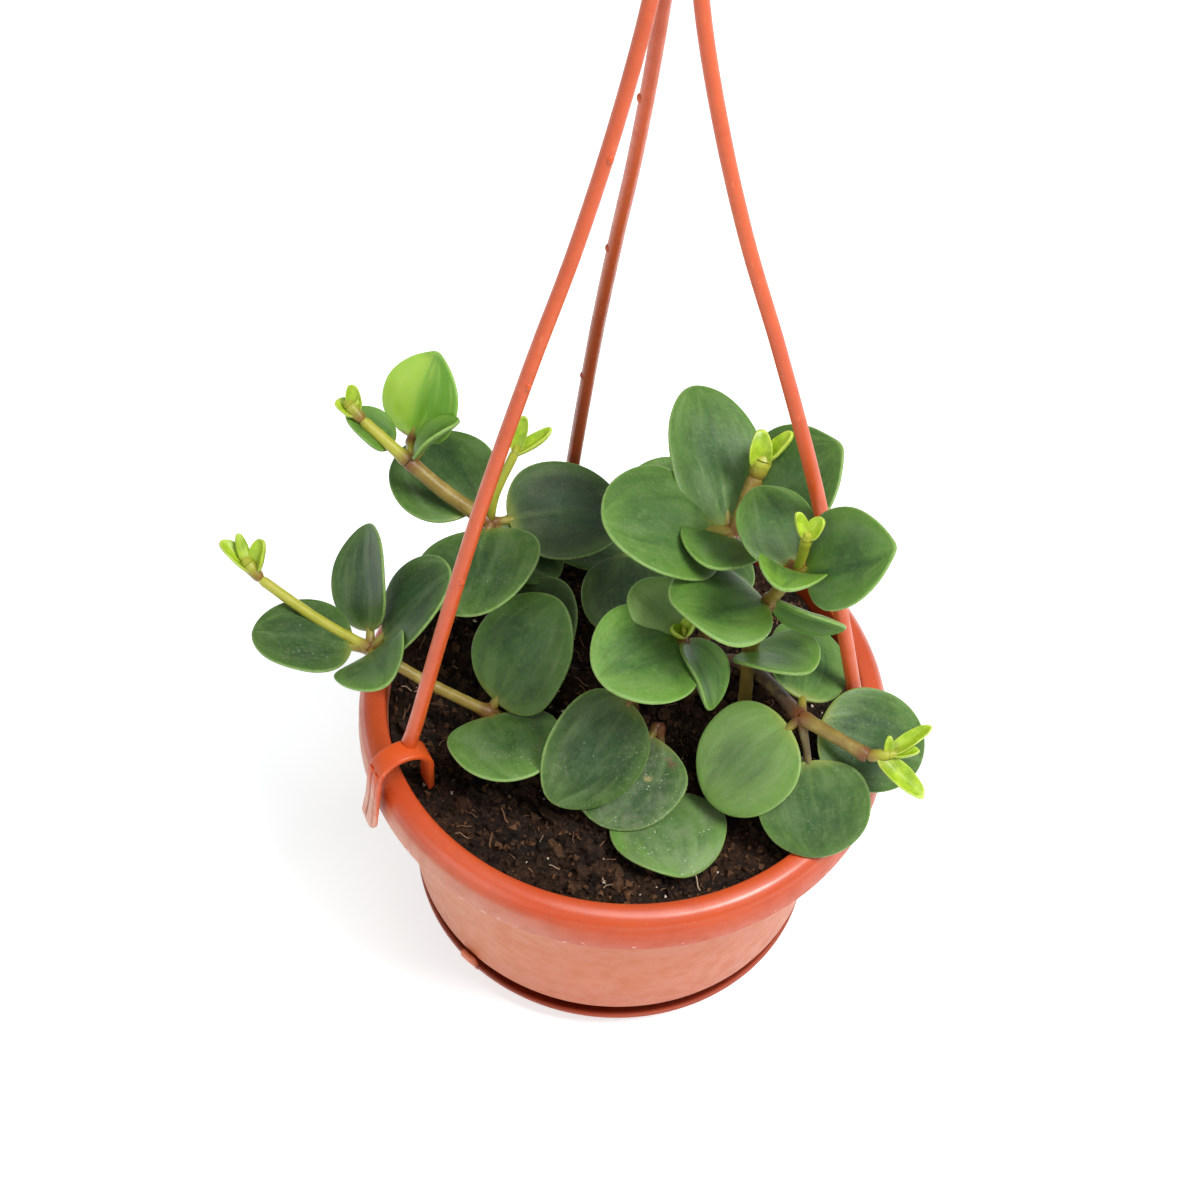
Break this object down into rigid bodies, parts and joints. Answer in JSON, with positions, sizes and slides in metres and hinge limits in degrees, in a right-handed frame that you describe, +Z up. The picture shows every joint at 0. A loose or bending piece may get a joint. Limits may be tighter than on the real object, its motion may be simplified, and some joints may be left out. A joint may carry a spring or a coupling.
{
  "type": "potted hanging houseplant",
  "caption": "Round-leaved succulent houseplant in an orange plastic hanging pot, with its hanger clipped over the rim, standing on its snapped-on saucer.",
  "frame": {"origin": "middle of the saucer's underside, which is the surface the part stands on", "axes": "+Z up along the pot's axis, +Y away from the viewer, +X to the viewer's right; the clipped strand nearest the viewer comes down on the left, with its clip at 210 degrees from +X"},
  "size_m": [0.1646, 0.125, 0.341],
  "materials": {
    "pot_plastic": "satin",
    "saucer_plastic": "satin",
    "hanger_plastic": "satin",
    "soil": "matte",
    "leaf": "satin",
    "growing_tip": "satin",
    "young_leaf": "satin"
  },
  "bodies": {
    "root": {"pot": "pot_plastic", "saucer": "saucer_plastic", "hanger": "hanger_plastic", "soil": "soil", "shoot_left": "leaf", "shoot_rear_left": "leaf", "shoot_centre": "leaf", "shoot_rear_right": "leaf", "shoot_tall": "leaf", "shoot_low": "leaf", "shoot_front": "leaf", "shoot_back": "leaf", "tip_left": "growing_tip", "tip_rear_left": "growing_tip", "tip_rear_left_inner": "growing_tip", "tip_centre": "growing_tip", "tip_rear_right": "growing_tip", "tip_tall": "growing_tip", "tip_low": "growing_tip", "young_leaf": "young_leaf"}
  },
  "joints": []
}
